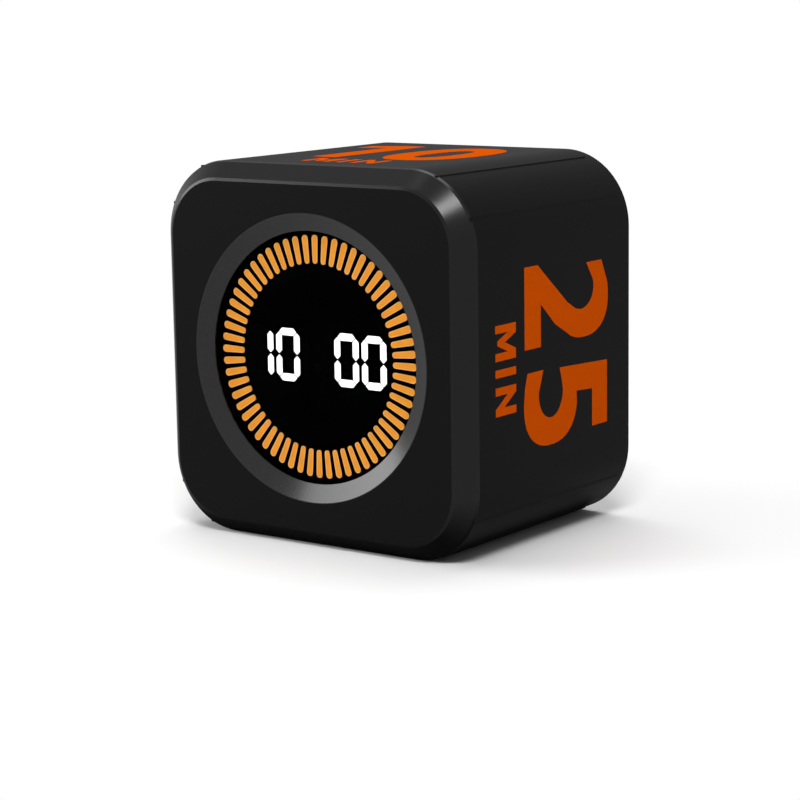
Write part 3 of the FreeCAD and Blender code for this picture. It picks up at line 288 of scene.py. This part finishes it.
def light_digits():
    for name, letters in SHOWN.items():
        mesh = frame["nodes"][name].data
        low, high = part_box(name)
        middle = (low + high) / 2
        mesh.materials.clear()
        mesh.materials.append(white_lit)
        mesh.materials.append(unlit)
        bm = bmesh.new()
        bm.from_mesh(mesh)
        bmesh.ops.remove_doubles(bm, verts=bm.verts, dist=1e-7)
        solids = islands(bm)
        bm.free()
        for face in mesh.polygons:
            point = min(solids, key=lambda centre: (face.center - centre).length)
            letter = segment_at((point.x - middle.x) / MM, (point.z - middle.z) / MM)
            face.material_index = 0 if letter in letters else 1
    dots = frame["nodes"]["colon_dots"].data
    dots.materials.clear()
    dots.materials.append(unlit)


def islands(bm):
    """The middle of each connected solid."""
    seen, middles = set(), []
    for first in bm.verts:
        if first in seen:
            continue
        group, stack = [], [first]
        seen.add(first)
        while stack:
            vert = stack.pop()
            group.append(vert.co.copy())
            for edge in vert.link_edges:
                other = edge.other_vert(vert)
                if other not in seen:
                    seen.add(other)
                    stack.append(other)
        middles.append(sum(group, Vector()) / len(group))
    return middles


# Printed settings: outlines in millimetres, u along the reading direction and v up the letters
PRINT_LOW, PRINT_HIGH = -0.01, 0.03
FULLNESS = 0.86


def bend(centre, radius_u, radius_v, first, last, steps):
    """Points along an ellipse from one angle to another, in degrees."""
    points = []
    for step in range(steps + 1):
        turn = math.radians(first + (last - first) * step / steps)
        points.append((centre[0] + radius_u * math.cos(turn), centre[1] + radius_v * math.sin(turn)))
    return points


def superbend(centre, radius_u, radius_v, first, last, steps):
    """As bend, with fuller corners."""
    points = []
    for u, v in bend((0, 0), 1, 1, first, last, steps):
        full_u = math.copysign(abs(u) ** FULLNESS, u)
        full_v = math.copysign(abs(v) ** FULLNESS, v)
        points.append((centre[0] + radius_u * full_u, centre[1] + radius_v * full_v))
    return points


def digit_one():
    return [[(-10.8, 13.2), (-6.0, 13.2), (-6.0, 39.6), (-9.8, 39.6), (-16.0, 37.0), (-16.0, 32.6),
             (-10.8, 34.5)]]


def digit_two():
    points = [(-15.4, 13.5), (-1.8, 13.5), (-1.8, 18.3), (-8.9, 18.3), (-5.1, 22.6)]
    points += superbend((-8.2, 31.6), 6.4, 7.7, -40, 0, 6)
    points += superbend((-8.2, 31.6), 6.4, 7.7, 0, 118, 16)[1:]
    points += [(-14.3, 37.2), (-14.3, 32.4)]
    points += bend((-10.1, 30.6), 3.5, 4.1, 112, 0, 10)
    points += [(-6.9, 29.0), (-8.3, 26.4), (-15.4, 17.4)]
    return [points]


def digit_five():
    points = [(3.1, 39.0), (13.9, 39.0), (13.9, 34.2), (7.4, 34.2), (7.1, 29.2)]
    points += superbend((7.6, 21.3), 7.4, 8.1, 82, -90, 20)
    points += [(4.6, 13.5), (2.1, 14.3), (2.1, 19.0)]
    points += bend((6.2, 21.3), 4.2, 3.7, -95, 90, 14)
    points += [(4.4, 24.6), (2.4, 24.0)]
    return [points]


def digit_zero():
    outer = superbend((7.5, 26.5), 8.0, 13.4, 0, 360, 40)[:-1]
    inner = superbend((7.5, 26.3), 2.7, 7.8, 0, 360, 32)[:-1]
    return [outer, inner]


def letters_min():
    m = [(-6.9, 5.0), (-5.6, 5.0), (-5.6, 8.6), (-4.4, 5.6), (-3.6, 5.6), (-2.4, 8.6), (-2.4, 5.0),
         (-1.1, 5.0), (-1.1, 10.9), (-2.7, 10.9), (-4.0, 7.7), (-5.3, 10.9), (-6.9, 10.9)]
    i = [(0.3, 5.0), (1.6, 5.0), (1.6, 10.9), (0.3, 10.9)]
    n = [(3.2, 5.0), (4.5, 5.0), (4.5, 8.5), (6.7, 5.0), (7.9, 5.0), (7.9, 10.9), (6.6, 10.9),
         (6.6, 7.4), (4.4, 10.9), (3.2, 10.9)]
    return [[m], [i], [n]]


def moved(glyph, across):
    return [[(u + across, v) for u, v in outline] for outline in glyph]


def on_side(side):
    """Places (u, v, height) on one of the four sides; v is measured from the chamfer's outer edge."""
    front = FRONT + CHAMFER
    half = SIDE / 2
    if side == "top":
        return lambda u, v, height: Vector((u, front + v, SIDE + height)) * MM
    if side == "right":
        return lambda u, v, height: Vector((half + height, front + v, half - u)) * MM
    if side == "under":
        return lambda u, v, height: Vector((-u, front + v, -height)) * MM
    return lambda u, v, height: Vector((-half - height, front + v, half + u)) * MM


def filled(bm, outlines, to_world, low, high):
    """Fill outlines, the later ones as holes, and give the print a thickness."""
    edges = []
    for outline in outlines:
        verts = [bm.verts.new(to_world(u, v, high)) for u, v in outline]
        for number in range(len(verts)):
            edges.append(bm.edges.new((verts[number], verts[(number + 1) % len(verts)])))
    made = bmesh.ops.triangle_fill(bm, use_beauty=True, edges=edges)
    faces = [item for item in made["geom"] if isinstance(item, bmesh.types.BMFace)]
    grown = bmesh.ops.extrude_face_region(bm, geom=faces)
    drop = to_world(0, 0, low) - to_world(0, 0, high)
    for item in grown["geom"]:
        if isinstance(item, bmesh.types.BMVert):
            item.co += drop


def make_prints():
    wanted = {
        "top": [digit_one(), digit_zero()],
        "right": [digit_two(), digit_five()],
        "under": [moved(digit_five(), -17.4), moved(digit_zero(), 0.6)],
        "left": [moved(digit_five(), -8.5)],
    }
    for side, glyphs in wanted.items():
        bm = bmesh.new()
        for glyph in glyphs + letters_min():
            filled(bm, glyph, on_side(side), PRINT_LOW, PRINT_HIGH)
        place("setting_" + side, finished(bm, "setting_" + side), "body", "orange_light", [print_orange])


# Rear details
def on_cover(u, v, height):
    """Places on the rear cover as it is read from behind: u to the reader's right."""
    return Vector((-u, COVER_BACK + height, SIDE / 2 + v)) * MM


STROKES = {
    "M": [[(0, 0), (0, 5)], [(0, 5), (2, 2)], [(2, 2), (4, 5)], [(4, 5), (4, 0)]],
    "S": [[(0, 0), (4, 0)], [(4, 0), (4, 2.5)], [(4, 2.5), (0, 2.5)], [(0, 2.5), (0, 5)], [(0, 5), (4, 5)]],
    "O": [[(0, 0), (4, 0)], [(4, 0), (4, 5)], [(4, 5), (0, 5)], [(0, 5), (0, 0)]],
    "F": [[(0, 0), (0, 5)], [(0, 5), (4, 5)], [(0, 2.6), (3, 2.6)]],
}
LETTER_PITCH = 5.6
LETTER_HALF = 0.36
KEY_LABEL_BASE, KEY_LABEL_SIZE = -14.4, 0.4
SWITCH_LABEL_BASE, SWITCH_LABEL_SIZE = -23.4, 0.3
LEVEL_START, LEVEL_PITCH, LEVEL_BASE = 13.4, 0.8, -23.3


def stroke(bm, begin, end, half, to_world):
    """One straight stroke with square ends."""
    along = Vector(end) - Vector(begin)
    along.normalize()
    side = Vector((-along.y, along.x)) * half
    begin = Vector(begin) - along * half
    end = Vector(end) + along * half
    outline = [begin - side, end - side, end + side, begin + side]
    prism(bm, [(point.x, point.y) for point in outline], to_world, PRINT_LOW, PRINT_HIGH)


def write(bm, text, left, base, size, to_world):
    for number, letter in enumerate(text):
        for begin, end in STROKES[letter]:
            u = left + number * LETTER_PITCH * size
            stroke(bm, (u + begin[0] * size, base + begin[1] * size),
                   (u + end[0] * size, base + end[1] * size), LETTER_HALF * size, to_world)


def make_marks():
    """Key letters, the two pause bars, and the switch's off word and level bars."""
    bm = bmesh.new()
    write(bm, "M", -16.0, KEY_LABEL_BASE, KEY_LABEL_SIZE, on_cover)
    write(bm, "S", -0.8, KEY_LABEL_BASE, KEY_LABEL_SIZE, on_cover)
    for u in (14.3, 15.7):
        stroke(bm, (u, -14.3), (u, -12.5), 0.17, on_cover)
    write(bm, "OFF", 5.2, SWITCH_LABEL_BASE, SWITCH_LABEL_SIZE, on_cover)
    for number, height in enumerate((0.5, 1.0, 1.5)):
        u = LEVEL_START + number * LEVEL_PITCH
        stroke(bm, (u, LEVEL_BASE), (u, LEVEL_BASE + height), 0.16, on_cover)
    place("rear_marks", finished(bm, "rear_marks"), "body", "connector_cream", [print_grey])


SCREW_OUT = 24.0
CROSS_LONG, CROSS_SHORT = 1.1, 0.24
CROSS_LOW, CROSS_HIGH = -0.05, 0.012


def make_cross_shade():
    """Painted shade in the cross recesses of the rear cover's screws: dark inlays stand for the shaded
    hollows; their arms end at two heights.
    """
    bm = bmesh.new()
    for x in (-SCREW_OUT, SCREW_OUT):
        for z in (-SCREW_OUT, SCREW_OUT):
            def to_world(u, v, height, x=x, z=z):
                return Vector((x + u, SCREW_BACK + height, SIDE / 2 + z + v)) * MM

            for half_u, half_v in ((CROSS_LONG, CROSS_SHORT), (CROSS_SHORT, CROSS_LONG)):
                outline = [(-half_u, -half_v), (half_u, -half_v), (half_u, half_v), (-half_u, half_v)]
                prism(bm, outline, to_world, CROSS_LOW, CROSS_HIGH + 0.001 * half_u)
    # The black inlays are painted shade of the screws' cross recesses.
    place("screw_cross_shade", finished(bm, "screw_cross_shade"), "body", "chip_black", [chip_black])


# Camera, lamps and floor, in metres
LENS_MM, SENSOR_MM = 107.416, 36.0
CAMERA_AT = (0.24325, -0.32900, 0.09436)
CAMERA_RIGHT = (0.806055, 0.591642, -0.015309)
CAMERA_UP = (-0.091729, 0.150441, 0.984355)
FLOOR_REACH, FLOOR_DROP = 6.0, 0.00005
SHADOW_NEAR, SHADOW_FAR = 0.042, 0.115


def make_camera():
    data = bpy.data.cameras.new("camera")
    data.lens = LENS_MM
    data.sensor_width = SENSOR_MM
    data.clip_start = 0.01
    data.clip_end = 20
    camera = bpy.data.objects.new("camera", data)
    bpy.context.scene.collection.objects.link(camera)
    right, up = Vector(CAMERA_RIGHT), Vector(CAMERA_UP)
    back = right.cross(up).normalized()
    turn = Matrix((right, up, back)).transposed().to_4x4()
    camera.matrix_world = Matrix.Translation(CAMERA_AT) @ turn
    bpy.context.scene.camera = camera


def lamp(name, place_at, aim, width, height, power):
    data = bpy.data.lights.new(name, "AREA")
    data.shape = "RECTANGLE"
    data.size = width
    data.size_y = height
    data.energy = power
    item = bpy.data.objects.new(name, data)
    bpy.context.scene.collection.objects.link(item)
    item.location = place_at
    item.rotation_euler = (Vector(aim) - Vector(place_at)).to_track_quat("-Z", "Y").to_euler()


def make_lamps():
    middle = (0, 0, 0.032)
    lamp("overhead", (-0.2, 0.3, 1.1), middle, 0.9, 0.8, 8.5)
    lamp("front_left", (-0.81, -0.50, 0.33), middle, 0.7, 0.44, 8.5)
    lamp("front_right", (0.38, -0.50, 0.77), middle, 0.32, 0.22, 6.5)


def seen_rays(nodes, links):
    """A socket that is 1 on camera, glossy and transmission rays and 0 on all others."""
    path = nodes.new("ShaderNodeLightPath")
    either = nodes.new("ShaderNodeMath")
    either.operation = "MAXIMUM"
    links.new(path.outputs["Is Camera Ray"], either.inputs[0])
    links.new(path.outputs["Is Glossy Ray"], either.inputs[1])
    also = nodes.new("ShaderNodeMath")
    also.operation = "MAXIMUM"
    links.new(either.outputs["Value"], also.inputs[0])
    links.new(path.outputs["Is Transmission Ray"], also.inputs[1])
    return also.outputs["Value"]


def make_world():
    world = bpy.data.worlds.new("world")
    bpy.context.scene.world = world
    world.use_nodes = True
    nodes, links = world.node_tree.nodes, world.node_tree.links
    nodes.clear()
    out = nodes.new("ShaderNodeOutputWorld")
    seen = nodes.new("ShaderNodeBackground")
    seen.inputs["Color"].default_value = (1, 1, 1, 1)
    seen.inputs["Strength"].default_value = 1.0
    ambient = nodes.new("ShaderNodeBackground")
    ambient.inputs["Color"].default_value = (1, 1, 1, 1)
    ambient.inputs["Strength"].default_value = 0.24
    mix = nodes.new("ShaderNodeMixShader")
    links.new(seen_rays(nodes, links), mix.inputs["Fac"])
    links.new(ambient.outputs["Background"], mix.inputs[1])
    links.new(seen.outputs["Background"], mix.inputs[2])
    links.new(mix.outputs["Shader"], out.inputs["Surface"])


def floor_material():
    """Pale and shadowed near the object; white to camera, glossy and transmission rays further out."""
    material = surface("pale_floor", (0.77, 0.77, 0.77), 0.9, 4.0, 0.01, 0.02, 0.0, Specular_IOR_Level=0.0)
    nodes, links = material.node_tree.nodes, material.node_tree.links
    shader, out = nodes["Principled BSDF"], nodes["Material Output"]
    place_at = [node for node in nodes if node.type == "TEX_COORD"][0]
    length = nodes.new("ShaderNodeVectorMath")
    length.operation = "LENGTH"
    links.new(place_at.outputs["Object"], length.inputs[0])
    fade = nodes.new("ShaderNodeMapRange")
    fade.interpolation_type = "SMOOTHSTEP"
    fade.inputs["From Min"].default_value = SHADOW_NEAR
    fade.inputs["From Max"].default_value = SHADOW_FAR
    links.new(length.outputs["Value"], fade.inputs["Value"])
    white = nodes.new("ShaderNodeEmission")
    share = nodes.new("ShaderNodeMath")
    share.operation = "MULTIPLY"
    links.new(seen_rays(nodes, links), share.inputs[0])
    links.new(fade.outputs["Result"], share.inputs[1])
    mix = nodes.new("ShaderNodeMixShader")
    links.new(share.outputs["Value"], mix.inputs["Fac"])
    links.new(shader.outputs["BSDF"], mix.inputs[1])
    links.new(white.outputs["Emission"], mix.inputs[2])
    links.new(mix.outputs["Shader"], out.inputs["Surface"])
    return material


def make_floor():
    mesh = bpy.data.meshes.new("floor")
    reach = FLOOR_REACH
    corners = [(-reach, -reach, 0), (reach, -reach, 0), (reach, reach, 0), (-reach, reach, 0)]
    mesh.from_pydata(corners, [], [(0, 1, 2, 3)])
    floor = bpy.data.objects.new("floor", mesh)
    bpy.context.scene.collection.objects.link(floor)
    floor.location.z = -FLOOR_DROP
    mesh.materials.append(floor_material())


dress_nodes()
make_bars()
light_digits()
make_prints()
make_marks()
make_cross_shade()
make_camera()
make_lamps()
make_world()
make_floor()
bpy.context.scene.view_settings.view_transform = "Standard"
